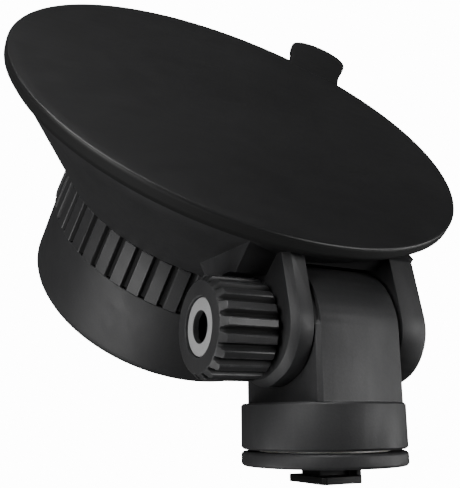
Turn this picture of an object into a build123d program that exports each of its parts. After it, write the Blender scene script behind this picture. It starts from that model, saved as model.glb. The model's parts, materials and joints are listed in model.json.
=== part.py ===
"""Windscreen suction mount of a dash camera: suction pad, twist-lock base, tilting arm and swivelling camera foot.

The origin is the centre of the suction face. +Z is up along the arm as it hangs in use, X is the arm's hinge axis
and the suction face looks up and towards -Y.
"""

import os
from math import cos, radians, sin

from build123d import *

# ---- driving dimensions, millimetres and degrees ----
RAKE = 50.0  # angle between the suction axis and the hanging arm's axis
PAD_R = 40.0
PAD_EDGE = 2.0  # height of the pad's outer edge
PAD_T = 3.0  # pad thickness under the base's rim
MEMBRANE_T = 2.2
MEMBRANE_R = 33.0
PAD_LIP = 0.4
TAB_ROOT = (27.2, -26.0)
TAB_TIP = (36.6, -42.2)
TAB_W = 12.4
TAB_T = 1.8

CONE_R = 38.6  # base's rim on the pad
CONE_END_R = 25.9
CONE_END_H = 19.3
CONE_WALL = 2.8
DECK_H = 20.4
DECK_T = 2.0
GUIDE = 5.0  # length of the stem's guide under the deck
WEBS = 6
WEB_L = 17.0
WEB_T = 1.4
WEB_H = 4.0
SKIRT_R = 22.7
SKIRT_LIP = 0.6
SKIRT_WALL = 1.8
SHOULDER_H = 17.0  # where the hollow starts to close
SKIRT_END_H = 23.6

RING_TOP_H = 19.6
RING_END_H = 27.6
RING_TOP_R = 25.5
RING_END_R = 26.3
RIB_COUNT = 50
RIB_T = 0.6
RIB_W = 2.0
RIB_ROOT = 1.0  # how deep a rib runs into the ring
CAP_R = 25.9
CAP_END_R = 25.7
CAP_END_H = 41.8
CAP_ROUND = 2.0
CAP_DISH_R = 17.0
CAP_DISH = 0.6
CAP_WALL = 2.0
CAP_ROOF_H = CAP_END_H - CAP_DISH - CAP_WALL  # inside of the cap's end

STEM_R = 3.0
STEM_FLANGE_R = 10.5
STEM_FLANGE_T = 1.6
STEM_END_H = 30.2
TUBE_R = 4.6
TUBE_END_H = 31.2
PIN_R = 1.25
PIN_HALF = 9.5
LIFT = 1.6
LOCK_TURN = 100.0
CAM_H = 23.8
CAM_T = 2.0
CAM_R = 24.2
SLIP_T = 0.8
SLIP_R = 16.0
SLIP_BORE_R = 4.8
CAM_HUB_R = 15.5
FIT = 0.05  # running clearance on the radius
PIN_H = CAM_H + CAM_T + PIN_R + 0.15
RAMP_STEPS = 20
RAMP_TURN = 120.0
RAMP_R = 8.2  # middle of the ramps
RAMP_W = 5.0
SCREW_PCR = 18.4
M25_R = 1.25
M25_HEAD_R = 2.2
SCREW_HEAD_T = 1.0
SCREW_L = 10.0
BOSS_R = 2.9

HINGE_U = 40.3  # hinge's distance from the suction axis
HINGE_H = 15.6  # and behind the suction face
ARM_X = 4.0  # arm's middle plane
ARM_W = 14.0
BARREL_R = 9.45
ARM_CHAMFER = 1.1
EAR_R = 7.7
EAR_FRONT = (0.5, -1.5)  # second centre of the ear's rounding, from the hinge
EAR_L = (-6.3, -3.3)  # left ear, outer and inner face
EAR_R_X = (11.6, 16.7)  # right ear, inner and outer face
EAR_CHAMFER = 0.9
EAR_CORNER = 1.2
BASE_LEFT = -11.2  # side of the bracket's root
BRACKET_H = (3.4, 15.2)
WEB_U = 36.3
ROOT_FRONT_U = 36.4
EAR_TOP_U = 36.7
SLOT_R = 10.1  # room for the arm's barrel
ROOT_U = 28.0  # how far the bracket runs into the base
ROOT_BACK_H = 14.0
ROOT_BACK_U = 20.0
KNOB_GAP = 0.7
TURN_GAP = 1.0  # bracket to the turning ring

COLLAR_R = 11.5
COLLAR_CHAMFER = 0.3
COLLAR_TOP = 9.8  # below the hinge
COLLAR_END = 15.9
DISC_TOP = 16.2
DISC_END = 18.1
DISC_CHAMFER = 0.3
NECK_END = 19.4
FOOT_END = 20.4
FOOT_X = 6.6
FOOT_Y = 8.8
NECK_Y = 4.4
NECK_INSET = 0.9
STOP_T = 0.8
FOOT_CORNER = 0.5
HUB_R = 4.9
HUB_TOP = 12.6
RECESS_R = 9.4
RECESS_TOP = 14.6
M3_R = 1.5
CSK_R = 2.8
KEY = 4.4  # square that keeps foot and disc together
KEY_DEPTH = 1.0
FOOT_KEY = 2.0
INSERT_R = 2.3
INSERT = (6.8, 11.8)
SWIVEL_SCREW_TOP = 7.4

M4_R = 2.0
KNOB_FACE_X = -15.9
KNOB_R = 7.0
KNOB_FACE_R = 5.6
FLUTES = 20
FLUTE_W = 0.95
FLUTE_DEPTH = 0.7
THRUST_T = 0.6
THRUST_R = 4.6
FRICTION_R = 6.5
HEAD_R = 3.5
HEX_KEY = 3.0
HEX_DEPTH = 2.2
HEAD_X = (-13.2, -9.2)
SCREW_END_X = 15.9
NUT_AF = 7.0
NUT_T = 2.2
DISC_R = 3.7
DISC_X = (-15.6, -14.4)
DISC_HOLE_R = 1.95

# ---- planes ----
S = sin(radians(RAKE))
C = cos(radians(RAKE))
INTO_BASE = (0, S, -C)  # suction axis, away from the glass
back = Plane(origin=(0, 0, 0), x_dir=(1, 0, 0), z_dir=INTO_BASE)  # its y runs towards the hinge
meridian = Plane(origin=(0, 0, 0), x_dir=(1, 0, 0), z_dir=(0, C, S))  # radius, depth
side = Plane(origin=(0, 0, 0), x_dir=(0, -C, -S), z_dir=(1, 0, 0))  # distance to hinge, depth
suction_axis = Axis((0, 0, 0), INTO_BASE)
HINGE_Y = -HINGE_U * C + HINGE_H * S
HINGE_Z = -HINGE_U * S - HINGE_H * C
hinge = Plane(origin=(0, HINGE_Y, HINGE_Z), x_dir=(0, 1, 0), z_dir=(1, 0, 0))  # Y, Z about the hinge


def arm_level(below):
    """Horizontal plane on the arm's axis, a distance below the hinge, looking up."""
    return Plane(origin=(ARM_X, HINGE_Y, HINGE_Z - below), x_dir=(1, 0, 0), z_dir=(0, 0, 1))


def save(solid, name):
    solid.label = name
    export_step(solid, f"parts/{name}.step")


def cone_r(depth):
    """Radius of the base's flared outside at a depth behind the suction face."""
    return CONE_R + (CONE_END_R - CONE_R) * (depth - PAD_T) / (CONE_END_H - PAD_T)


os.makedirs("parts", exist_ok=True)

# ---- suction side ----
with BuildPart() as suction_pad:
    with BuildSketch(meridian):
        with BuildLine():
            Polyline(
                (0, 0),
                (PAD_R - PAD_LIP, 0),
                (PAD_R, PAD_LIP),
                (PAD_R, PAD_EDGE),
                (PAD_R - 2 * PAD_LIP, PAD_T),
                (MEMBRANE_R + 1.0, PAD_T),
                (MEMBRANE_R, MEMBRANE_T),
                (0, MEMBRANE_T),
                close=True,
            )
        make_face()
    revolve(axis=suction_axis)
    with BuildSketch(back.offset(0.2)):
        with Locations(TAB_ROOT, TAB_TIP):
            Circle(TAB_W / 2)
        make_hull()
    extrude(amount=TAB_T)
save(suction_pad.part, "suction_pad")

with BuildPart() as lift_stem:
    with BuildSketch(back.offset(MEMBRANE_T)):
        Circle(STEM_FLANGE_R)
    extrude(amount=STEM_FLANGE_T)
    with BuildSketch(back.offset(MEMBRANE_T)):
        Circle(STEM_R)
    extrude(amount=STEM_END_H - MEMBRANE_T)
    with BuildSketch(side):
        with Locations((0, PIN_H)):
            Circle(PIN_R)
    extrude(amount=STEM_R + 1, both=True, mode=Mode.SUBTRACT)
save(lift_stem.part, "lift_stem")

with BuildPart() as stem_pin:
    with BuildSketch(side):
        with Locations((0, PIN_H)):
            Circle(PIN_R)
    extrude(amount=PIN_HALF, both=True)
    chamfer(stem_pin.edges().filter_by(GeomType.CIRCLE), 0.25)
save(stem_pin.part, "stem_pin")

# ---- base with its clevis ----
with BuildPart() as base_housing:
    # two ears round the hinge, then the bracket's root block, before the shell goes through them
    for inner, outer in ((EAR_L[1], EAR_L[0]), EAR_R_X):
        with BuildSketch(side.offset(inner)):
            with Locations((HINGE_U, HINGE_H), (HINGE_U + EAR_FRONT[0], HINGE_H + EAR_FRONT[1])):
                Circle(EAR_R)
            corner_h = BRACKET_H[0] + EAR_CORNER
            with Locations((EAR_TOP_U, corner_h), (ROOT_U, corner_h), (ROOT_U, ROOT_BACK_H)):
                Circle(EAR_CORNER)
            make_hull()
        extrude(amount=outer - inner)
        chamfer(base_housing.edges().filter_by_position(Axis.X, outer, outer), EAR_CHAMFER)
    with BuildSketch(back.offset(BRACKET_H[0])):
        with BuildLine():
            Polyline(
                (BASE_LEFT, ROOT_BACK_U),
                (BASE_LEFT, ROOT_FRONT_U),
                (EAR_L[0], WEB_U),
                (EAR_R_X[1], WEB_U),
                (EAR_R_X[1], ROOT_BACK_U),
                close=True,
            )
        make_face()
    extrude(amount=BRACKET_H[1] - BRACKET_H[0])
    # round seat for the knob beside the left ear
    with BuildSketch(side.offset(EAR_L[0])):
        with Locations((HINGE_U, HINGE_H)):
            Circle(KNOB_R + KNOB_GAP)
    extrude(amount=KNOB_FACE_X - EAR_L[0], mode=Mode.SUBTRACT)
    # room for the turning ring and cap
    with BuildSketch(back.offset(BRACKET_H[1])):
        Circle(RING_END_R + TURN_GAP)
    extrude(amount=CAP_END_H - BRACKET_H[1], mode=Mode.SUBTRACT)
    # flared shell, skirt with snap lip, deck and guide tube
    with BuildSketch(meridian):
        with BuildLine():
            Polyline(
                (cone_r(PAD_T), PAD_T),
                (CONE_END_R, CONE_END_H),
                (SKIRT_R, CONE_END_H),
                (SKIRT_R, SKIRT_END_H - 1.0),
                (SKIRT_R + SKIRT_LIP, SKIRT_END_H - 0.7),
                (SKIRT_R + SKIRT_LIP, SKIRT_END_H - 0.3),
                (SKIRT_R, SKIRT_END_H),
                (SKIRT_R - SKIRT_WALL, SKIRT_END_H),
                (SKIRT_R - SKIRT_WALL, DECK_H + DECK_T),
                (TUBE_R, DECK_H + DECK_T),
                (TUBE_R, TUBE_END_H),
                (STEM_R + FIT, TUBE_END_H),
                (STEM_R + FIT, DECK_H - GUIDE),
                (TUBE_R, DECK_H - GUIDE),
                (TUBE_R, DECK_H),
                (SKIRT_R - SKIRT_WALL, DECK_H),
                (cone_r(SHOULDER_H) - CONE_WALL, SHOULDER_H),
                (cone_r(PAD_T) - CONE_WALL, PAD_T),
                close=True,
            )
        make_face()
    revolve(axis=suction_axis)
    # hollow inside, where the bracket's root ran through the wall
    with BuildSketch(meridian):
        with BuildLine():
            Polyline(
                (TUBE_R, PAD_T),
                (cone_r(PAD_T) - CONE_WALL, PAD_T),
                (cone_r(SHOULDER_H) - CONE_WALL, SHOULDER_H),
                (SKIRT_R - SKIRT_WALL, DECK_H),
                (TUBE_R, DECK_H),
                close=True,
            )
        make_face()
    revolve(axis=suction_axis, mode=Mode.SUBTRACT)
    # room for the arm's barrel between the ears
    with BuildSketch(side.offset(EAR_L[1])):
        with Locations((HINGE_U, HINGE_H)):
            Circle(SLOT_R)
    extrude(amount=EAR_R_X[0] - EAR_L[1], mode=Mode.SUBTRACT)
    # stiffening webs under the deck
    with BuildSketch(back.offset(DECK_H - WEB_H)):
        with PolarLocations(0, WEBS, start_angle=30):
            with Locations((TUBE_R - 0.2 + WEB_L / 2, 0)):
                Rectangle(WEB_L, WEB_T)
    extrude(amount=WEB_H)
    # slots that keep the pin, and so the stem, from turning
    with BuildSketch(back.offset(PIN_H - PIN_R - 0.1)):
        Rectangle(2 * TUBE_R + 2, 2 * PIN_R + 2 * FIT)
    extrude(amount=TUBE_END_H, mode=Mode.SUBTRACT)
    # hinge bore and the nut's pocket in the right ear
    with BuildSketch(side.offset(EAR_L[0] - 1)):
        with Locations((HINGE_U, HINGE_H)):
            Circle(M4_R + FIT)
    extrude(amount=EAR_R_X[1] - EAR_L[0] + 2, mode=Mode.SUBTRACT)
    with BuildSketch(side.offset(EAR_R_X[1] - NUT_T)):
        with Locations((HINGE_U, HINGE_H)):
            RegularPolygon(NUT_AF / 2, 6, major_radius=False)
    extrude(amount=NUT_T + 1, mode=Mode.SUBTRACT)
save(base_housing.part, "base_housing")

# ---- twist lock ----
with BuildPart() as slip_washer:
    with BuildSketch(back.offset(DECK_H + DECK_T)):
        Circle(SLIP_R)
        Circle(SLIP_BORE_R, mode=Mode.SUBTRACT)
    extrude(amount=SLIP_T)
save(slip_washer.part, "slip_washer")

with BuildPart() as cam_plate:
    with BuildSketch(back.offset(CAM_H)):
        Circle(CAM_R)
        Circle(TUBE_R + FIT, mode=Mode.SUBTRACT)
    extrude(amount=CAM_T)
    with BuildSketch(back.offset(DECK_H + DECK_T + SLIP_T)):
        Circle(CAM_HUB_R)
        Circle(TUBE_R + FIT, mode=Mode.SUBTRACT)
    extrude(amount=CAM_H - DECK_H - DECK_T - SLIP_T)
    # two rising ramps under the pin's ends, in steps that overlap a little
    step_l = 2.5 * RAMP_R * sin(radians(RAMP_TURN / RAMP_STEPS / 2))
    for first in (0, 180):
        for step in range(RAMP_STEPS):
            turned = (step + 0.5) * RAMP_TURN / RAMP_STEPS
            rise = min(LIFT, LIFT * turned / LOCK_TURN)
            with BuildSketch(back.offset(CAM_H + CAM_T)):
                with Locations(Rotation(0, 0, first + turned)):
                    with Locations((RAMP_R, 0)):
                        Rectangle(RAMP_W, step_l)
            extrude(amount=rise)
    with BuildSketch(back.offset(CAM_H - 1)):
        with PolarLocations(SCREW_PCR, 3, start_angle=90):
            Circle(M25_R + 0.1)
    extrude(amount=CAM_T + 2, mode=Mode.SUBTRACT)
save(cam_plate.part, "cam_plate")

with BuildPart() as grip_ring:
    with BuildSketch(meridian):
        with BuildLine():
            Polyline(
                (SKIRT_R + 0.2, RING_TOP_H),
                (RING_TOP_R - RIB_T, RING_TOP_H),
                (RING_END_R - RIB_T, RING_END_H),
                (CAM_R, RING_END_H),
                (CAM_R, CAM_H),
                (SKIRT_R + SKIRT_LIP + 0.3, CAM_H),
                (SKIRT_R + SKIRT_LIP + 0.3, SKIRT_END_H - 1.1),
                (SKIRT_R + 0.2, SKIRT_END_H - 1.5),
                close=True,
            )
        make_face()
    revolve(axis=suction_axis)
    # broad flat grip ribs that follow the ring's taper
    for number in range(RIB_COUNT):
        angle = number * 360 / RIB_COUNT
        for depth, outer_r in ((RING_TOP_H + 0.3, RING_TOP_R), (RING_END_H - 0.01, RING_END_R)):
            with BuildSketch(back.offset(depth)):
                with Locations(Rotation(0, 0, angle)):
                    with Locations((outer_r - RIB_ROOT / 2, 0)):
                        Rectangle(RIB_ROOT, RIB_W * outer_r / RING_END_R)
        loft()
save(grip_ring.part, "grip_ring")

with BuildPart() as lock_cap:
    with BuildSketch(meridian):
        with BuildLine():
            Polyline(
                (CAP_R, RING_END_H),
                (CAP_END_R, CAP_END_H),
                (CAP_DISH_R + CAP_DISH, CAP_END_H),
                (CAP_DISH_R, CAP_END_H - CAP_DISH),
                (0, CAP_END_H - CAP_DISH),
                (0, CAP_ROOF_H),
                (CAP_END_R - CAP_WALL, CAP_ROOF_H),
                (CAP_R - CAP_WALL, RING_END_H),
                close=True,
            )
        make_face()
    revolve(axis=suction_axis)
    fillet(lock_cap.edges().filter_by(GeomType.CIRCLE).sort_by(suction_axis).group_by(SortBy.RADIUS)[-2], CAP_ROUND)
    with BuildSketch(back.offset(CAM_H + CAM_T)):
        with PolarLocations(SCREW_PCR, 3, start_angle=90):
            Circle(BOSS_R)
    extrude(amount=CAP_ROOF_H - CAM_H - CAM_T)
    with BuildSketch(back.offset(CAM_H + CAM_T)):
        with PolarLocations(SCREW_PCR, 3, start_angle=90):
            Circle(M25_R)
    extrude(amount=SCREW_L - CAM_T + 0.2, mode=Mode.SUBTRACT)
save(lock_cap.part, "lock_cap")

with BuildPart() as cap_screws:
    with BuildSketch(back.offset(CAM_H - SCREW_HEAD_T)):
        with PolarLocations(SCREW_PCR, 3, start_angle=90):
            Circle(M25_HEAD_R)
    extrude(amount=SCREW_HEAD_T)
    with BuildSketch(back.offset(CAM_H)):
        with PolarLocations(SCREW_PCR, 3, start_angle=90):
            Circle(M25_R)
    extrude(amount=SCREW_L)
save(cap_screws.part, "cap_screws")

# ---- tilting arm ----
with BuildPart() as swing_arm:
    with BuildSketch(hinge.offset(ARM_X - ARM_W / 2)):
        Circle(BARREL_R)
        with Locations((0, -COLLAR_TOP / 2)):
            Rectangle(2 * BARREL_R, COLLAR_TOP)
    extrude(amount=ARM_W)
    chamfer(swing_arm.edges().filter_by(Axis.Z), ARM_CHAMFER)
    with BuildSketch(arm_level(COLLAR_END)):
        Circle(COLLAR_R)
    extrude(amount=COLLAR_END - COLLAR_TOP)
    chamfer(swing_arm.edges().filter_by(GeomType.CIRCLE).group_by(SortBy.RADIUS)[-1], COLLAR_CHAMFER)
    with BuildSketch(arm_level(COLLAR_END)):
        Circle(RECESS_R)
    extrude(amount=COLLAR_END - RECESS_TOP, mode=Mode.SUBTRACT)
    with BuildSketch(arm_level(RECESS_TOP)):
        Circle(HUB_R + FIT)
    extrude(amount=RECESS_TOP - HUB_TOP + 0.2, mode=Mode.SUBTRACT)
    with BuildSketch(arm_level(HUB_TOP)):
        Circle(INSERT_R)
    extrude(amount=HUB_TOP - INSERT[0] + 0.6, mode=Mode.SUBTRACT)
    with BuildSketch(hinge.offset(ARM_X - ARM_W)):
        Circle(M4_R + FIT)
    extrude(amount=2 * ARM_W, mode=Mode.SUBTRACT)
save(swing_arm.part, "swing_arm")

for name, low, high in (
    ("friction_washer_left", EAR_L[1], ARM_X - ARM_W / 2),
    ("friction_washer_right", ARM_X + ARM_W / 2, EAR_R_X[0]),
):
    with BuildPart() as friction_washer:
        with BuildSketch(hinge.offset(low)):
            Circle(FRICTION_R)
            Circle(M4_R + FIT, mode=Mode.SUBTRACT)
        extrude(amount=high - low)
    save(friction_washer.part, name)

with BuildPart() as threaded_insert:
    with BuildSketch(arm_level(INSERT[1])):
        Circle(INSERT_R)
        Circle(M3_R + FIT, mode=Mode.SUBTRACT)
    extrude(amount=INSERT[1] - INSERT[0])
save(threaded_insert.part, "threaded_insert")

# ---- hinge screw, nut and tightening knob ----
with BuildPart() as pivot_screw:
    with BuildSketch(hinge.offset(HEAD_X[0])):
        Circle(HEAD_R)
    extrude(amount=HEAD_X[1] - HEAD_X[0])
    with BuildSketch(hinge.offset(HEAD_X[1])):
        Circle(M4_R)
    extrude(amount=SCREW_END_X - HEAD_X[1])
    chamfer(pivot_screw.faces().sort_by(Axis.X)[-1].edges(), 0.4)
    with BuildSketch(hinge.offset(HEAD_X[0])):
        RegularPolygon(HEX_KEY / 2, 6, major_radius=False)
    extrude(amount=HEX_DEPTH, mode=Mode.SUBTRACT)
save(pivot_screw.part, "pivot_screw")

with BuildPart() as pivot_nut:
    with BuildSketch(hinge.offset(EAR_R_X[1] - NUT_T)):
        with Locations(Rotation(0, 0, RAKE)):
            RegularPolygon(NUT_AF / 2, 6, major_radius=False)
        Circle(M4_R + FIT, mode=Mode.SUBTRACT)
    extrude(amount=NUT_T)
save(pivot_nut.part, "pivot_nut")

with BuildPart() as thrust_washer:
    with BuildSketch(hinge.offset(EAR_L[0] - THRUST_T)):
        Circle(THRUST_R)
        Circle(M4_R + FIT, mode=Mode.SUBTRACT)
    extrude(amount=THRUST_T)
save(thrust_washer.part, "thrust_washer")

with BuildPart() as tightening_knob:
    knob_root_x = EAR_L[0] - THRUST_T
    with BuildSketch(hinge.offset(KNOB_FACE_X)):
        Circle(KNOB_R)
    extrude(amount=knob_root_x - KNOB_FACE_X)
    chamfer(tightening_knob.faces().sort_by(Axis.X)[0].edges(), KNOB_R - KNOB_FACE_R)
    with BuildSketch(hinge.offset(KNOB_FACE_X)):
        with PolarLocations(KNOB_R, FLUTES):
            Rectangle(2 * FLUTE_DEPTH, FLUTE_W)
    extrude(amount=knob_root_x - KNOB_FACE_X - 0.5, mode=Mode.SUBTRACT)
    with BuildSketch(hinge.offset(KNOB_FACE_X)):
        Circle(DISC_R)
    extrude(amount=DISC_X[1] - KNOB_FACE_X, mode=Mode.SUBTRACT)
    with BuildSketch(hinge.offset(DISC_X[1])):
        Circle(HEAD_R)
    extrude(amount=HEAD_X[1] - DISC_X[1], mode=Mode.SUBTRACT)
    with BuildSketch(hinge.offset(HEAD_X[1])):
        Circle(M4_R)
    extrude(amount=knob_root_x - HEAD_X[1], mode=Mode.SUBTRACT)
save(tightening_knob.part, "tightening_knob")

with BuildPart() as knob_disc:
    with BuildSketch(hinge.offset(DISC_X[0])):
        Circle(DISC_R)
        Circle(DISC_HOLE_R, mode=Mode.SUBTRACT)
    extrude(amount=DISC_X[1] - DISC_X[0])
save(knob_disc.part, "knob_disc")

# ---- swivelling camera foot ----
with BuildPart() as swivel_disc:
    with BuildSketch(arm_level(DISC_END)):
        Circle(COLLAR_R)
    extrude(amount=DISC_END - DISC_TOP)
    chamfer(swivel_disc.edges(), DISC_CHAMFER)
    with BuildSketch(arm_level(DISC_TOP)):
        Circle(HUB_R)
    extrude(amount=DISC_TOP - HUB_TOP)
    with BuildSketch(arm_level(DISC_END)):
        Rectangle(KEY, KEY)
    extrude(amount=KEY_DEPTH, mode=Mode.SUBTRACT)
    with BuildSketch(arm_level(DISC_END)):
        Circle(M3_R)
    extrude(amount=DISC_END - HUB_TOP, mode=Mode.SUBTRACT)
save(swivel_disc.part, "swivel_disc")

with BuildPart() as wave_washer:
    with BuildSketch(arm_level(DISC_TOP)):
        Circle(RECESS_R - 0.4)
        Circle(HUB_R + 0.3, mode=Mode.SUBTRACT)
    extrude(amount=DISC_TOP - RECESS_TOP)
save(wave_washer.part, "wave_washer")

with BuildPart() as tee_foot:
    with BuildSketch(arm_level(FOOT_END)):
        Rectangle(FOOT_X, FOOT_Y)
    extrude(amount=FOOT_END - NECK_END)
    chamfer(tee_foot.edges().filter_by(Axis.Z), FOOT_CORNER)
    with BuildSketch(arm_level(NECK_END)):
        with Locations((NECK_INSET / 2, 0)):
            Rectangle(FOOT_X - NECK_INSET, NECK_Y)
        with Locations(((FOOT_X - STOP_T) / 2, 0)):
            Rectangle(STOP_T, FOOT_Y - 2 * FOOT_CORNER)
    extrude(amount=NECK_END - DISC_END)
    with BuildSketch(arm_level(DISC_END)):
        Rectangle(KEY, KEY)
    extrude(amount=KEY_DEPTH)
    with BuildSketch(arm_level(FOOT_END)):
        Circle(M3_R)
    extrude(amount=FOOT_END, mode=Mode.SUBTRACT)
    with BuildSketch(arm_level(FOOT_END)):
        Circle(CSK_R)
    extrude(amount=CSK_R - M3_R, taper=45, mode=Mode.SUBTRACT)
save(tee_foot.part, "tee_foot")

with BuildPart() as swivel_screw:
    with BuildSketch(arm_level(FOOT_END)):
        Circle(CSK_R)
    extrude(amount=CSK_R - M3_R, taper=45)
    with BuildSketch(arm_level(FOOT_END)):
        Circle(M3_R)
    extrude(amount=FOOT_END - SWIVEL_SCREW_TOP)
    with BuildSketch(arm_level(FOOT_END)):
        RegularPolygon(FOOT_KEY / 2, 6, major_radius=False)
    extrude(amount=KEY_DEPTH, mode=Mode.SUBTRACT)
save(swivel_screw.part, "swivel_screw")
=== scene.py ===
"""Looks of the windscreen suction mount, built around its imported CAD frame. Metres throughout."""

import json
from math import cos, pi, radians, sin, sqrt

import bmesh
import bpy
from mathutils import Euler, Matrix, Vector


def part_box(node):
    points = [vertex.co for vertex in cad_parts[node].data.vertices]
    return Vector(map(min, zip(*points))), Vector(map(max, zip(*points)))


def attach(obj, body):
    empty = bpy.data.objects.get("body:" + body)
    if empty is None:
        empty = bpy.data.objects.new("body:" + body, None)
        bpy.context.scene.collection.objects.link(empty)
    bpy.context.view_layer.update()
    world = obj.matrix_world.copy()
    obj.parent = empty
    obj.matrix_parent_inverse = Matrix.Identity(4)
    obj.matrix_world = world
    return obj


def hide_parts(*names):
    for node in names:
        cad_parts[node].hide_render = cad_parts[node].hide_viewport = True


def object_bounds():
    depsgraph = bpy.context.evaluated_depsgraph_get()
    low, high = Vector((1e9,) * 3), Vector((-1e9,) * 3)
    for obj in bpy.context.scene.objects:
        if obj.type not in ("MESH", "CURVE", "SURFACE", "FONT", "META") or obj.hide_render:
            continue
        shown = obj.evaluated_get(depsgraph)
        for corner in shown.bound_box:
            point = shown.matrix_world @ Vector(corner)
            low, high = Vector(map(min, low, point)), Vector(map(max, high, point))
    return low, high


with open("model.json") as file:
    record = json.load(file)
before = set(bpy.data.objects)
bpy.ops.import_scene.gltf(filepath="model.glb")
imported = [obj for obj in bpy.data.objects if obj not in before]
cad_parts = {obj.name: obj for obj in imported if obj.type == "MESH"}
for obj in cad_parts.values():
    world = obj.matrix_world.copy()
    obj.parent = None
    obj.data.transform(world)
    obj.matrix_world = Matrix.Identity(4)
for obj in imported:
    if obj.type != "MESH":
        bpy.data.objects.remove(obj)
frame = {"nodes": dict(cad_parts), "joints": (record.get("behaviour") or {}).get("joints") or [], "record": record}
cad_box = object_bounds()
NODES = frame["nodes"]
MM = 0.001

# ---- the frame's own directions and places ----
MOUNTS = {m["name"]: m for m in frame["record"]["mounts"]}
JOINTS = {j["name"]: j for j in frame["joints"]}
OUT = Vector(MOUNTS["suction_face"]["axis"]).normalized()  # from the pad towards the glass
INTO = -OUT
ACROSS = Vector((1, 0, 0))  # along the hinge axis
DOWN_FACE = INTO.cross(ACROSS)  # in the suction face, towards the hinge
HINGE = Vector(JOINTS["arm_tilt"]["pos_m"])


def spans(node, direction):
    """Lowest and highest distance of a CAD node along a direction."""
    along = [v.co.dot(direction) for v in NODES[node].data.vertices]
    return min(along), max(along)


def radius_at(node, depth, within=0.4 * MM):
    """Largest distance from the suction axis of a CAD node's points near a depth."""
    best = 0
    for v in NODES[node].data.vertices:
        if abs(v.co.dot(INTO) - depth) < within:
            best = max(best, sqrt(v.co.dot(ACROSS) ** 2 + v.co.dot(DOWN_FACE) ** 2))
    return best


# ---- shader helpers ----
class Shader:
    """A material with short ways to add and join its nodes."""

    def __init__(self, name):
        self.material = bpy.data.materials.new(name)
        self.material.use_nodes = True
        self.tree = self.material.node_tree
        self.bsdf = self.tree.nodes["Principled BSDF"]
        self.place = self.node("ShaderNodeTexCoord").outputs["Object"]

    def node(self, kind, **values):
        made = self.tree.nodes.new(kind)
        for key, value in values.items():
            if hasattr(made, key):
                setattr(made, key, value)
            else:
                made.inputs[key.replace("_", " ")].default_value = value
        return made

    def join(self, a, b):
        self.tree.links.new(a, b)

    def put(self, name, value):
        """Joins a field to a socket of the surface, or sets the socket to one value."""
        socket = self.bsdf.inputs[name]
        if isinstance(value, bpy.types.NodeSocket):
            self.join(value, socket)
        else:
            socket.default_value = value

    def vector(self, operation, *operands):
        """Result of a vector sum; an operand is a field or a tuple."""
        made = self.node("ShaderNodeVectorMath", operation=operation)
        for socket, value in zip(made.inputs, operands):
            if isinstance(value, tuple):
                socket.default_value = value
            else:
                self.join(value, socket)
        return made.outputs["Value" if operation in ("DOT_PRODUCT", "LENGTH") else "Vector"]

    def along(self, direction):
        """Distance of the shaded point along a direction, from the frame's origin."""
        return self.vector("DOT_PRODUCT", self.place, direction)

    def stretched(self, scale, turn=(0, 0, 0)):
        """The object's own coordinates, scaled per axis after a turn."""
        mapping = self.node("ShaderNodeMapping")
        mapping.inputs["Rotation"].default_value = turn
        mapping.inputs["Scale"].default_value = scale
        self.join(self.place, mapping.inputs["Vector"])
        return mapping.outputs["Vector"]

    def noise(self, size, detail=3.0, roughness=0.5, place=None):
        """Noise whose patches are about size across."""
        made = self.node("ShaderNodeTexNoise", Scale=1 / size, Detail=detail, Roughness=roughness)
        self.join(place or self.place, made.inputs["Vector"])
        return made.outputs["Fac"]

    def span(self, value, low, high, start=0.0, end=1.0):
        """Maps start to end of a field onto low to high."""
        made = self.node("ShaderNodeMapRange")
        for key, number in (("From Min", start), ("From Max", end), ("To Min", low), ("To Max", high)):
            made.inputs[key].default_value = number
        self.join(value, made.inputs["Value"])
        return made.outputs["Result"]

    def spread(self, field, low, high):
        """Maps the middle range of a noise, where most of it lies, onto low to high."""
        return self.span(field, low, high, 0.3, 0.7)

    def mix(self, share, a, b):
        """Colour a where share is 0, b where it is 1; each is a field, a number or a tuple."""
        made = self.node("ShaderNodeMix", data_type="RGBA")
        for socket, value in ((made.inputs[0], share), (made.inputs[6], a), (made.inputs[7], b)):
            if isinstance(value, (int, float)):
                socket.default_value = value
            elif isinstance(value, tuple):
                socket.default_value = (*value, 1)
            else:
                self.join(value, socket)
        return made.outputs[2]

    def wear(self, reach=0.3 * MM, sharp=0.985, full=0.9):
        """1 along edges, 0 on flat ground: where a rounded-off normal leaves the true one."""
        rounded_off = self.node("ShaderNodeBevel", samples=4, Radius=reach).outputs["Normal"]
        true_one = self.node("ShaderNodeNewGeometry").outputs["Normal"]
        return self.span(self.vector("DOT_PRODUCT", rounded_off, true_one), 0, 1, sharp, full)

    def from_axis(self, centre, direction, lean=0.0):
        """Distance from an axis, less lean times the way along it."""
        reach = self.vector("SUBTRACT", self.place, centre)
        away = self.vector("LENGTH", self.vector("CROSS_PRODUCT", reach, direction))
        leant = self.vector("DOT_PRODUCT", reach, tuple(lean * c for c in direction))
        rest = self.node("ShaderNodeMath", operation="SUBTRACT")
        self.join(away, rest.inputs[0])
        self.join(leant, rest.inputs[1])
        return rest.outputs["Value"]

    def bump(self, heights):
        """Stacks bumps of (height field, depth) on the surface."""
        normal = None
        for height, depth in heights:
            made = self.node("ShaderNodeBump", Strength=1.0, Distance=depth)
            self.join(height, made.inputs["Height"])
            if normal:
                self.join(normal, made.inputs["Normal"])
            normal = made.outputs["Normal"]
        self.put("Normal", normal)


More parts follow.
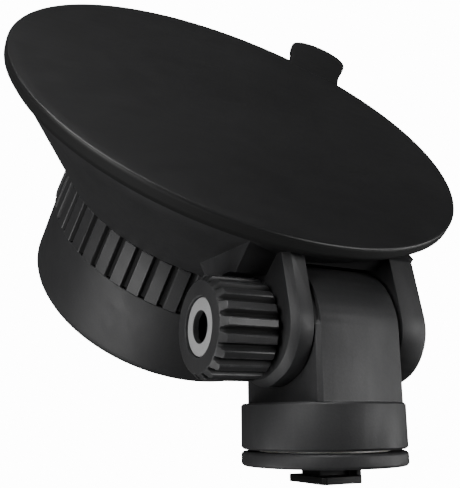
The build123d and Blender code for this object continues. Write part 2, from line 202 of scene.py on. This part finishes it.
# ---- materials ----
def grained(shader, dark, light, rough, grain, depth, rub=0.0, painted_shade=None):
    """Moulded plastic: fine grain, faint flow marks, uneven gloss and paler, smoother edges.

    rub makes the worn edges paler; grime is a field that is 1 where shade is painted, in grooves and hollows.
    """
    patches = shader.noise(9 * MM, 4.0, 0.6)
    speckle = shader.noise(grain, 2.0, 0.6)
    flow = shader.noise(2.5 * MM, 5.0, 0.7, shader.stretched((1, 1, 0.25), (0.6, 0.3, 0)))
    body = shader.mix(shader.spread(patches, 0, 1), dark, light)
    body = shader.mix(shader.span(speckle, 0, 0.35, 0.35, 0.75), body, tuple(1.5 * c for c in light))
    edges = shader.wear()
    worn = shader.mix(shader.span(flow, 0, 1, 0.35, 0.6), edges, (0, 0, 0))
    paler = tuple(min(1, 3.0 * c + rub) for c in light)
    colour = shader.mix(worn, body, paler)
    # painted shade: where the mask is 1 the colour is darkened; below, the same places are made rougher
    if painted_shade:
        colour = shader.mix(painted_shade, colour, tuple(0.12 * c for c in dark))
    shader.put("Base Color", colour)
    gloss = shader.mix(edges, shader.spread(flow, rough - 0.05, rough + 0.06), (rough - 0.12,) * 3)
    if painted_shade:
        gloss = shader.mix(painted_shade, gloss, (0.85,) * 3)
    shader.put("Roughness", gloss)
    shader.bump([(speckle, depth), (flow, 0.5 * depth)])
    return shader.material


def moulded_black():
    """Base, cap, arm, swivel disc and cam plate."""
    shader = Shader("moulded_black")
    shader.put("Specular IOR Level", 0.45)
    return grained(shader, (0.021, 0.021, 0.022), (0.028, 0.028, 0.029), 0.52, 0.28 * MM, 0.012 * MM, 0.01)


def knob_black():
    """Painted shade darkens the flutes' floors; the ridges between them are rubbed paler."""
    shader = Shader("knob_black")
    radius = shader.from_axis(tuple(HINGE), (1, 0, 0))
    low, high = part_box("tightening_knob")
    ridge = (high.z - low.z) / 2
    # painted shade: 1 on the flutes' floors, fading out up the flanks towards the ridges
    painted_shade = shader.mix(
        shader.span(radius, 0, 1, ridge - 1.1 * MM, ridge - 1.0 * MM),
        (0, 0, 0),
        shader.span(radius, 1, 0, ridge - 0.8 * MM, ridge - 0.12 * MM),
    )
    # the painted shade stops short of the knob's face end
    side = shader.span(shader.along((1, 0, 0)), 0, 1, low.x + 0.5 * MM, low.x + 1.4 * MM)
    painted_shade = shader.mix(side, (0, 0, 0), painted_shade)
    dark, light = (0.026, 0.026, 0.027), (0.042, 0.042, 0.043)
    return grained(shader, dark, light, 0.42, 0.2 * MM, 0.016 * MM, 0.05, painted_shade)


def ring_black():
    """The ribbed ring: shade is painted between the ribs."""
    shader = Shader("ring_black")
    top, end = spans("grip_ring", INTO)
    lean = (radius_at("grip_ring", end) - radius_at("grip_ring", top + 0.3 * MM)) / (end - top)
    rib = radius_at("grip_ring", end) - lean * end
    radius = shader.from_axis((0, 0, 0), tuple(INTO), lean)
    # painted shade: 1 in the grooves between the ribs, fading out up their flanks
    painted_shade = shader.span(radius, 1, 0, rib - 0.6 * MM, rib - 0.15 * MM)
    dark, light = (0.021, 0.021, 0.022), (0.03, 0.03, 0.031)
    return grained(shader, dark, light, 0.48, 0.28 * MM, 0.012 * MM, 0.02, painted_shade)


def disc_grey():
    """Spark-eroded face of the disc let into the knob, with painted shade inside its hole."""
    shader = Shader("disc_grey")
    # painted shade: 1 inside the hole's rim
    hole = shader.span(shader.from_axis(tuple(HINGE), (1, 0, 0)), 1, 0, 2.2 * MM, 2.3 * MM)
    return grained(shader, (0.26, 0.26, 0.262), (0.4, 0.4, 0.402), 0.6, 0.16 * MM, 0.03 * MM, 0.05, hole)


def foot_black():
    """Smooth nylon of the camera foot."""
    shader = Shader("foot_black")
    shader.put("Specular IOR Level", 0.2)
    return grained(shader, (0.004, 0.004, 0.004), (0.007, 0.007, 0.007), 0.5, 0.35 * MM, 0.006 * MM, 0.005)


def natural_acetal():
    """Undyed plastic of the slip washer and the wave washer."""
    shader = Shader("natural_acetal")
    shader.put("Subsurface Weight", 0.15)
    shader.put("Subsurface Radius", (2 * MM, 1.8 * MM, 1.5 * MM))
    return grained(shader, (0.62, 0.6, 0.54), (0.7, 0.68, 0.62), 0.38, 0.3 * MM, 0.005 * MM)


def pressed_fibre():
    """Brown-black washers beside the arm's barrel."""
    shader = Shader("pressed_fibre")
    return grained(shader, (0.05, 0.045, 0.04), (0.1, 0.09, 0.08), 0.8, 0.12 * MM, 0.03 * MM)


def pad_rubber():
    """Satin elastomer: faint polish swirls, dust, a glossier edge, and painted shade on its side and back, which
    are also duller.
    """
    shader = Shader("pad_rubber")
    shader.put("Specular IOR Level", 0.38)
    clouds = shader.noise(26 * MM, 4.0, 0.55)
    dust = shader.noise(0.5 * MM, 3.0, 0.7)
    swirl = shader.noise(5 * MM, 4.0, 0.6, shader.stretched((1, 3, 1), (0.4, 0.2, 0.5)))
    body = shader.mix(shader.spread(clouds, 0, 1), (0.013, 0.013, 0.0135), (0.018, 0.018, 0.0185))
    body = shader.mix(shader.span(dust, 0, 0.2, 0.62, 0.8), body, (0.07, 0.07, 0.072))
    edges = shader.wear()
    # painted shade: from 0.5 mm behind the face, the side and the back are darkened and made rougher
    side = shader.span(shader.along(tuple(INTO)), 0, 1, 0.5 * MM, 0.9 * MM)
    body = shader.mix(edges, body, (0.035, 0.035, 0.036))
    shader.put("Base Color", shader.mix(side, body, (0.006, 0.006, 0.006)))
    satin = shader.mix(edges, shader.spread(swirl, 0.34, 0.42), (0.26,) * 3)
    shader.put("Roughness", shader.mix(side, satin, (0.75,) * 3))
    shader.bump([(swirl, 0.01 * MM), (dust, 0.003 * MM)])
    return shader.material


def metal(name, dark, light, rough, grain_turn):
    """Worked metal with fine drawn lines and slightly brighter edges."""
    shader = Shader(name)
    shader.put("Metallic", 1.0)
    lines = shader.noise(0.25 * MM, 4.0, 0.7, shader.stretched((1, 6, 6), grain_turn))
    stain = shader.noise(4 * MM, 3.0, 0.5)
    body = shader.mix(shader.spread(stain, 0, 1), dark, light)
    shader.put("Base Color", shader.mix(shader.wear(), body, tuple(min(1, 1.4 * c) for c in light)))
    shader.put("Roughness", shader.spread(lines, rough - 0.06, rough + 0.08))
    shader.bump([(lines, 0.006 * MM)])
    return shader.material


LOOKS = {
    "pad_rubber": pad_rubber(),
    "black_plastic": moulded_black(),
    "knob_plastic": knob_black(),
    "disc_plastic": disc_grey(),
    "foot_plastic": foot_black(),
    "natural_plastic": natural_acetal(),
    "washer_fibre": pressed_fibre(),
    "plated_steel": metal("plated_steel", (0.5, 0.5, 0.51), (0.62, 0.62, 0.63), 0.32, (0, 0, 0.4)),
    "black_steel": metal("black_steel", (0.05, 0.05, 0.052), (0.09, 0.09, 0.092), 0.38, (0, 0, 0)),
    "brass": metal("brass", (0.6, 0.42, 0.18), (0.72, 0.52, 0.24), 0.3, (0.3, 0, 0)),
}
SLOT_OF = {s["node"]: s["material_slot"] for s in frame["record"]["subparts"]}
BODY_OF = {n: body for body, members in frame["record"]["behaviour"]["bodies"].items() for n in members}


# ---- mesh helpers ----
def finished(name, mesh, *nodes, smooth=40, look=None):
    """Makes a piece of a mesh: it stands for the CAD nodes, rides on their body and takes their slot."""
    piece = bpy.data.objects.new(name, mesh)
    bpy.context.scene.collection.objects.link(piece)
    slot = SLOT_OF[nodes[0]]
    mesh.materials.clear()
    mesh.materials.append(look or LOOKS[slot])
    mesh.shade_smooth()
    if smooth:
        mesh.set_sharp_from_angle(angle=radians(smooth))
    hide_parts(*nodes)
    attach(piece, BODY_OF[nodes[0]])
    return piece


def mesh_of(name, points, faces):
    """A mesh with doubled points merged and its faces turned outwards."""
    mesh = bpy.data.meshes.new(name)
    mesh.from_pydata(points, [], faces)
    shape = bmesh.new()
    shape.from_mesh(mesh)
    bmesh.ops.remove_doubles(shape, verts=shape.verts, dist=0.001 * MM)
    bmesh.ops.dissolve_degenerate(shape, edges=shape.edges, dist=0.001 * MM)
    bmesh.ops.recalc_face_normals(shape, faces=shape.faces)
    shape.to_mesh(mesh)
    shape.free()
    return mesh


def bands(layers, around, first=0):
    """Faces between closed rows of points, each with as many points as around says."""
    rows = [first + k * around for k in range(layers)]
    return [
        (row + i, row + (i + 1) % around, row + (i + 1) % around + around, row + i + around)
        for row in rows[:-1]
        for i in range(around)
    ]


def rounded(corners, steps=4):
    """Outline points (r, h) from corners (r, h, radius): a corner with a radius is turned into an arc."""
    points = []
    count = len(corners)
    for i, (x, y, radius) in enumerate(corners):
        here = Vector((x, y))
        before = Vector(corners[i - 1][:2]) - here
        after = Vector(corners[(i + 1) % count][:2]) - here
        if radius <= 0:
            points.append((x, y))
            continue
        half = before.angle(after) / 2
        centre = here + (before.normalized() + after.normalized()).normalized() * radius / sin(half)
        start = here + before.normalized() * radius * cos(half) / sin(half) - centre
        end = here + after.normalized() * radius * cos(half) / sin(half) - centre
        for step in range(steps + 1):
            spot = centre + start.slerp(end, step / steps).normalized() * radius
            points.append((spot.x, spot.y))
    return points


def even(count):
    """Turns for a plain round piece: (angle, cut) with no cut."""
    return [(2 * pi * i / count, 0.0) for i in range(count)]


def repeated(count, profile):
    """Turns for a piece with ribs: profile is one pitch of (share of the pitch, depth of cut)."""
    return [(2 * pi * (i + share) / count, cut) for i in range(count) for share, cut in profile]


def lathe(outline, turns, spot, centre=Vector((0, 0, 0))):
    """Closed outline of (r, h) turned round an axis; spot(r, h, angle, cut) places each point."""
    rows = len(outline)
    points = [centre + spot(r, h, angle, cut) for angle, cut in turns for r, h in outline]
    faces = []
    for i in range(len(turns)):
        for k in range(rows):
            a, b = i * rows + k, i * rows + (k + 1) % rows
            j = (i + 1) % len(turns) * rows
            faces.append((a, j + k, j + (k + 1) % rows, b))
    return points, faces


def about_suction(r, h, angle, cut=0.0):
    """Point at a depth behind the suction face, with the cut taken off its radius."""
    return ACROSS * (r - cut) * cos(angle) + DOWN_FACE * (r - cut) * sin(angle) + INTO * h


def about_hinge(r, h, angle, cut=0.0):
    """Point round the hinge axis; the fluted knob takes its own cut off."""
    return Vector((h, r * cos(angle), r * sin(angle)))


# ---- suction pad, an elastomer disc with a pull tab ----
PAD_R = -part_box("suction_pad")[0].x
PAD_T = spans("suction_pad", INTO)[1]
RIM_ROUND = 0.45 * MM
CROWN_R = 22 * MM  # from here the face falls away towards the rim
CROWN = 0.3 * MM
TAB_R = 6.8 * MM
TAB_NECK_R = 5.9 * MM
TAB_H = (0.2 * MM, 2.0 * MM)
TAB_BACK = Vector((-9.4, 16.2)).normalized()  # from the tab's head to its root, across and down the face
TAB_NECK = 12.5 * MM  # from the middle of the head back to the neck
TAB_ROOT = 17.5 * MM


def pad_outline():
    """From the crowned face round the rim to the back, which is a step thinner inside a raised border."""
    edge = PAD_T * 2 / 3
    step = 0.8 * MM
    crown = 8
    return rounded([
        (0, 0, 0),
        *((CROWN_R + (PAD_R - CROWN_R) * i / crown, CROWN * (i / crown) ** 2, 0) for i in range(crown)),
        (PAD_R, CROWN, RIM_ROUND),
        (PAD_R, edge, RIM_ROUND),
        (PAD_R - step, PAD_T, RIM_ROUND / 2),
        (PAD_R - 6 * MM, PAD_T, 0),
        (PAD_R - 7 * MM, PAD_T - step, 0),
        (0, PAD_T - step, 0),
    ])


def tab_layers():
    """Inset and depth of the tab's layers, round at both rims."""
    top, bottom = TAB_H
    lip = 0.5 * MM
    quarter = [pi / 2 * i / 5 for i in range(6)]
    upper = [(lip * (1 - sin(a)), top + lip * (1 - cos(a))) for a in quarter]
    lower = [(lip * (1 - cos(a)), bottom - lip * (1 - sin(a))) for a in quarter]
    return upper + lower


def tab_outline(inset):
    """Points (back from the head's middle, across): up one side, round the head and down the other."""
    side = []
    steps = 14
    for i in range(steps + 1):
        back = TAB_ROOT * (steps - i) / steps
        waist = (1 - cos(pi * min(1, back / TAB_NECK))) / 2
        side.append((back, TAB_R + (TAB_NECK_R - TAB_R) * waist - inset))
    turns = [pi * i / 28 for i in range(1, 28)]
    right = [(back, -half) for back, half in side]
    arc = [(-(TAB_R - inset) * sin(a), -(TAB_R - inset) * cos(a)) for a in turns]
    return right + arc + list(reversed(side))


def pad_points():
    """The round pad and its tab, whose root lies inside the pad."""
    points, faces = lathe(pad_outline(), even(288), about_suction)
    head = Vector((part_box("suction_pad")[1].x - TAB_R, spans("suction_pad", DOWN_FACE)[0] + TAB_R))
    across_tab = Vector((-TAB_BACK.y, TAB_BACK.x))
    first = len(points)
    layers = tab_layers()
    for inset, h in layers:
        for back, across in tab_outline(inset):
            spot = head + TAB_BACK * back + across_tab * across
            points.append(ACROSS * spot.x + DOWN_FACE * spot.y + INTO * h)
    around = len(tab_outline(0))
    faces += bands(len(layers), around, first)
    last = first + (len(layers) - 1) * around
    faces.append(tuple(first + i for i in reversed(range(around))))
    faces.append(tuple(last + i for i in range(around)))
    return points, faces


finished("moulded_pad", mesh_of("moulded_pad", *pad_points()), "suction_pad", smooth=50)

# ---- ribbed ring of the twist lock ----
RIBS = 50
# one pitch as (share of the pitch, millimetres cut): a rib's top, its flank, a groove, then the same mirrored
RIB_PITCH = [(0.0, 0.0), (0.3, 0.0), (0.335, 0.1), (0.39, 0.6), (0.43, 0.72)]
RIB_PITCH += [(1 - share, depth) for share, depth in reversed(RIB_PITCH[1:])]
RING_TOP, RING_END = spans("grip_ring", INTO)
RING_TOP_R = radius_at("grip_ring", RING_TOP + 0.3 * MM)
RING_END_R = radius_at("grip_ring", RING_END)
RING_WALL = 1.6 * MM  # from the outer radius at the top to the bore at the thin end


def ring_spot(r, h, angle, cut):
    """Only the outer wall is cut by the grooves."""
    outer = r > RING_TOP_R - RING_WALL
    return about_suction(r, h, angle, cut if outer else 0.0)


def ring_outline():
    """Outer wall, then the thin lower wall and the thicker top of the bore."""
    bore = RING_TOP_R - 2.3 * MM
    return rounded([
        (bore, RING_TOP, 0),
        (RING_TOP_R, RING_TOP, 0.25 * MM),
        (RING_END_R, RING_END, 0.25 * MM),
        (RING_TOP_R - RING_WALL, RING_END, 0),
        (RING_TOP_R - RING_WALL, RING_TOP + 4.5 * MM, 0),
        (bore, RING_TOP + 3 * MM, 0),
    ])


rib_turns = repeated(RIBS, [(share, depth * MM) for share, depth in RIB_PITCH])
ring_mesh = mesh_of("ribbed_ring", *lathe(ring_outline(), rib_turns, ring_spot))
finished("ribbed_ring", ring_mesh, "grip_ring", smooth=28, look=ring_black())

# ---- smooth cap below the ring ----
CAP_TOP = RING_END + 0.12 * MM  # fine parting line under the ribs
CAP_END = spans("lock_cap", INTO)[1]
CAP_TOP_R = radius_at("lock_cap", RING_END)
CAP_ROUND = 2.0 * MM
CAP_END_R = radius_at("lock_cap", CAP_END) + CAP_ROUND
CAP_WALL = 2 * MM


def cap_outline():
    """From the dished end round the side to the open top, and back inside."""
    dish_r = 17 * MM
    dish_h = CAP_END - 0.6 * MM
    return rounded([
        (0, dish_h, 0),
        (dish_r, dish_h, 0.5 * MM),
        (dish_r + 0.6 * MM, CAP_END, 0.3 * MM),
        (CAP_END_R, CAP_END, CAP_ROUND),
        (CAP_TOP_R, CAP_TOP, 0.2 * MM),
        (CAP_TOP_R - CAP_WALL, CAP_TOP, 0),
        (CAP_END_R - CAP_WALL, dish_h - CAP_WALL, 0),
        (0, dish_h - CAP_WALL, 0),
    ], 6)


cap_mesh = mesh_of("smooth_cap", *lathe(cap_outline(), even(240), about_suction))
finished("smooth_cap", cap_mesh, "lock_cap", smooth=35)

# ---- fluted tightening knob and the disc in its end ----
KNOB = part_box("tightening_knob")
KNOB_R = (KNOB[1].z - KNOB[0].z) / 2
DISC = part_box("knob_disc")
DISC_R = (DISC[1].z - DISC[0].z) / 2 + 0.35 * MM
FLUTES = 20
# one pitch as (share of the pitch, millimetres cut), from a ridge's top to the flute's floor and back
FLUTE_PITCH = [(0.0, 0.0), (0.18, 0.0), (0.25, 0.1), (0.31, 0.45), (0.38, 0.78), (0.5, 0.92)]
FLUTE_PITCH += [(1 - share, depth) for share, depth in reversed(FLUTE_PITCH[1:-1])]
KNOB_FACE_R = KNOB_R - 0.85 * MM
SHOULDER = 0.95 * MM  # length of the slope from the face to the full radius
KNOB_TRIM = 0.4 * MM  # the moulded face lies this much inside the CAD box
SCREW_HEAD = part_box("pivot_screw")


def knob_outline():
    """From the recess round the face, down the side and back through the bore."""
    start = KNOB[0].x + KNOB_TRIM
    seat = DISC[1].x
    bore_r = 2 * MM
    head_r = 3.5 * MM
    head_end = SCREW_HEAD[0].x + 4 * MM
    corners = [
        (head_r, seat, 0),
        (DISC_R, seat, 0),
        (DISC_R, start, 0.12 * MM),
        (KNOB_FACE_R, start, 0.25 * MM),
    ]
    steps = 14
    for i in range(1, steps):
        share = i / steps
        corners.append((KNOB_FACE_R + (KNOB_R - KNOB_FACE_R) * share, start + SHOULDER * share, 0))
    corners += [
        (KNOB_R, start + SHOULDER, 0),
        (KNOB_R, KNOB[1].x - 0.5 * MM, 0),
        (KNOB_R - 0.5 * MM, KNOB[1].x, 0),
        (bore_r, KNOB[1].x, 0),
        (bore_r, head_end, 0),
        (head_r, head_end, 0),
    ]
    return rounded(corners)


def knob_spot(r, h, angle, cut):
    """A flute has a level floor, so it runs out where it meets the sloping shoulder."""
    return about_hinge(min(r, KNOB_R - cut), h, angle)


knob_axis = Vector((0, HINGE.y, HINGE.z))
flute_turns = repeated(FLUTES, [(share, depth * MM) for share, depth in FLUTE_PITCH])
knob_points, knob_faces = lathe(knob_outline(), flute_turns, knob_spot, knob_axis)
finished("fluted_knob", mesh_of("fluted_knob", knob_points, knob_faces), "tightening_knob", smooth=32)


def disc_outline():
    """Flat ring that fills the knob's recess to 0.1 mm."""
    hole_r = 2.15 * MM
    return rounded([
        (hole_r, DISC[0].x + KNOB_TRIM, 0.1 * MM),
        (hole_r, DISC[1].x, 0),
        (DISC_R - 0.1 * MM, DISC[1].x, 0),
        (DISC_R - 0.1 * MM, DISC[0].x + KNOB_TRIM, 0.2 * MM),
    ])


disc_mesh = mesh_of("inset_disc", *lathe(disc_outline(), even(96), about_hinge, knob_axis))
finished("inset_disc", disc_mesh, "knob_disc")


# ---- CAD pieces whose edges are broken as a mould leaves them ----
SHARP_FROM = 24  # degrees between two faces, from which their edge is rounded


def softened(node, name, width, steps=2, moved=None):
    """A copy of a CAD node's mesh with its flat faces made whole and every sharp edge rounded."""
    shape = bmesh.new()
    shape.from_mesh(NODES[node].data)
    for vert in shape.verts:
        if moved:
            vert.co = moved(vert.co)
    bmesh.ops.remove_doubles(shape, verts=shape.verts, dist=0.002 * MM)
    bmesh.ops.dissolve_limit(shape, angle_limit=radians(0.1), verts=shape.verts, edges=shape.edges)
    mesh = bpy.data.meshes.new(name)
    shape.to_mesh(mesh)
    shape.free()
    piece = finished(name, mesh, node, smooth=0)
    bevel = piece.modifiers.new("broken_edges", "BEVEL")
    bevel.limit_method = "ANGLE"
    bevel.angle_limit = radians(SHARP_FROM)
    bevel.width = width
    bevel.segments = steps
    bevel.use_clamp_overlap = True
    bevel.harden_normals = True
    return piece


ARM_LOW, ARM_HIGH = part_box("swing_arm")
ARM_X = (ARM_LOW.x + ARM_HIGH.x) / 2
ARM_HALF = 7.0 * MM
BARREL_R = 9.45 * MM
ARM_CHAMFER = 1.1 * MM
SLIM_CHAMFER = 0.55 * MM


def crisp_corner(place):
    """Moves the two edges of the arm's broad chamfer out, to leave a slim one."""
    near = 0.05 * MM
    slimmer = ARM_CHAMFER - SLIM_CHAMFER
    side = place.x - ARM_X
    low = min(place.z - HINGE.z, 0)
    out = place - Vector((place.x, HINGE.y, HINGE.z + low))
    if abs(abs(side) - ARM_HALF) < near and abs(out.length - BARREL_R + ARM_CHAMFER) < near:
        return place + out.normalized() * slimmer
    if abs(abs(side) - ARM_HALF + ARM_CHAMFER) < near and abs(out.length - BARREL_R) < near:
        return place + Vector((1 if side > 0 else -1, 0, 0)) * slimmer
    return place


softened("base_housing", "clevis_base", 0.22 * MM)
softened("swing_arm", "hanging_arm", 0.2 * MM, moved=crisp_corner)
softened("swivel_disc", "collar_disc", 0.08 * MM)
softened("tee_foot", "camera_tee", 0.15 * MM)

# ---- the other CAD pieces keep their shape and get their material ----
for name, piece in NODES.items():
    if not piece.hide_render:
        piece.data.materials.clear()
        piece.data.materials.append(LOOKS[SLOT_OF[name]])

# ---- floor, lights and camera ----
OBJECT_LOW, OBJECT_HIGH = (Vector(corner) for corner in cad_box)
CENTRE = (OBJECT_LOW + OBJECT_HIGH) / 2
FLOOR_Z = OBJECT_LOW.z - 0.6  # low enough to look up at the object from below
PAPER_GLOW = 14.0
WORLD_GLOW = 0.03


def studio_floor():
    """Pale floor that curves up into a backdrop all round; only the camera sees it, so it lights nothing."""
    points = []
    outline = [(0, 0), (0.6, 0), (1.2, 0.02), (1.8, 0.12), (2.4, 0.4), (2.9, 1.0), (3.1, 2.0), (3.1, 8.0)]
    around = 64
    for r, h in outline:
        for i in range(around):
            a = 2 * pi * i / around
            points.append((CENTRE.x + r * cos(a), CENTRE.y + r * sin(a), FLOOR_Z + h))
    mesh = mesh_of("studio_floor", points, bands(len(outline), around))
    mesh.shade_smooth()
    floor = bpy.data.objects.new("studio_floor", mesh)
    bpy.context.scene.collection.objects.link(floor)
    shader = Shader("studio_paper")
    shader.put("Roughness", 0.9)
    tone = shader.spread(shader.noise(0.4), 0, 1)
    shader.put("Base Color", shader.mix(tone, (0.88, 0.88, 0.88), (0.93, 0.93, 0.93)))
    shader.put("Emission Color", (1, 1, 1, 1))
    shader.put("Emission Strength", PAPER_GLOW)
    mesh.materials.append(shader.material)
    for ray in ("diffuse", "glossy", "transmission", "shadow"):
        setattr(floor, "visible_" + ray, False)


def soft_light(name, place, watts, width, height):
    """Area light at a place relative to the object's middle, facing it."""
    data = bpy.data.lights.new(name, "AREA")
    data.shape = "RECTANGLE"
    data.size = width
    data.size_y = height
    data.energy = watts
    light = bpy.data.objects.new(name, data)
    light.location = CENTRE + Vector(place)
    light.rotation_euler = (-Vector(place)).to_track_quat("-Z", "Y").to_euler()
    light.visible_camera = False
    bpy.context.scene.collection.objects.link(light)


studio_floor()
soft_light("sheen", (-0.11, -0.15, 0.4), 1.0, 0.14, 0.1)
soft_light("key", (-0.26, -0.14, 0.06), 0.5, 0.12, 0.25)
soft_light("low", (-0.24, 0.03, -0.22), 0.55, 0.1, 0.25)
soft_light("front", (0.3, -0.42, 0.0), 1.25, 0.3, 0.16)
soft_light("side", (0.46, -0.12, -0.1), 0.6, 0.1, 0.3)
soft_light("top", (0.0, -0.1, 0.7), 0.1, 0.6, 0.6)

world = bpy.context.scene.world or bpy.data.worlds.new("world")
bpy.context.scene.world = world
world.use_nodes = True
background = world.node_tree.nodes["Background"]
background.inputs["Color"].default_value = (1, 1, 1, 1)
background.inputs["Strength"].default_value = WORLD_GLOW

CAMERA_PLACE = (-0.05594, -0.09798, -0.05264)
CAMERA_TURN = (103.836, 0.452, -28.241)  # degrees
CAMERA_LENS = 52.146
camera_data = bpy.data.cameras.new("camera")
camera_data.sensor_width = 36
camera_data.lens = CAMERA_LENS
camera_data.clip_start = 0.005
camera = bpy.data.objects.new("camera", camera_data)
camera.location = CAMERA_PLACE
camera.rotation_euler = Euler([radians(turn) for turn in CAMERA_TURN])
bpy.context.scene.collection.objects.link(camera)
bpy.context.scene.camera = camera

bpy.context.view_layer.update()
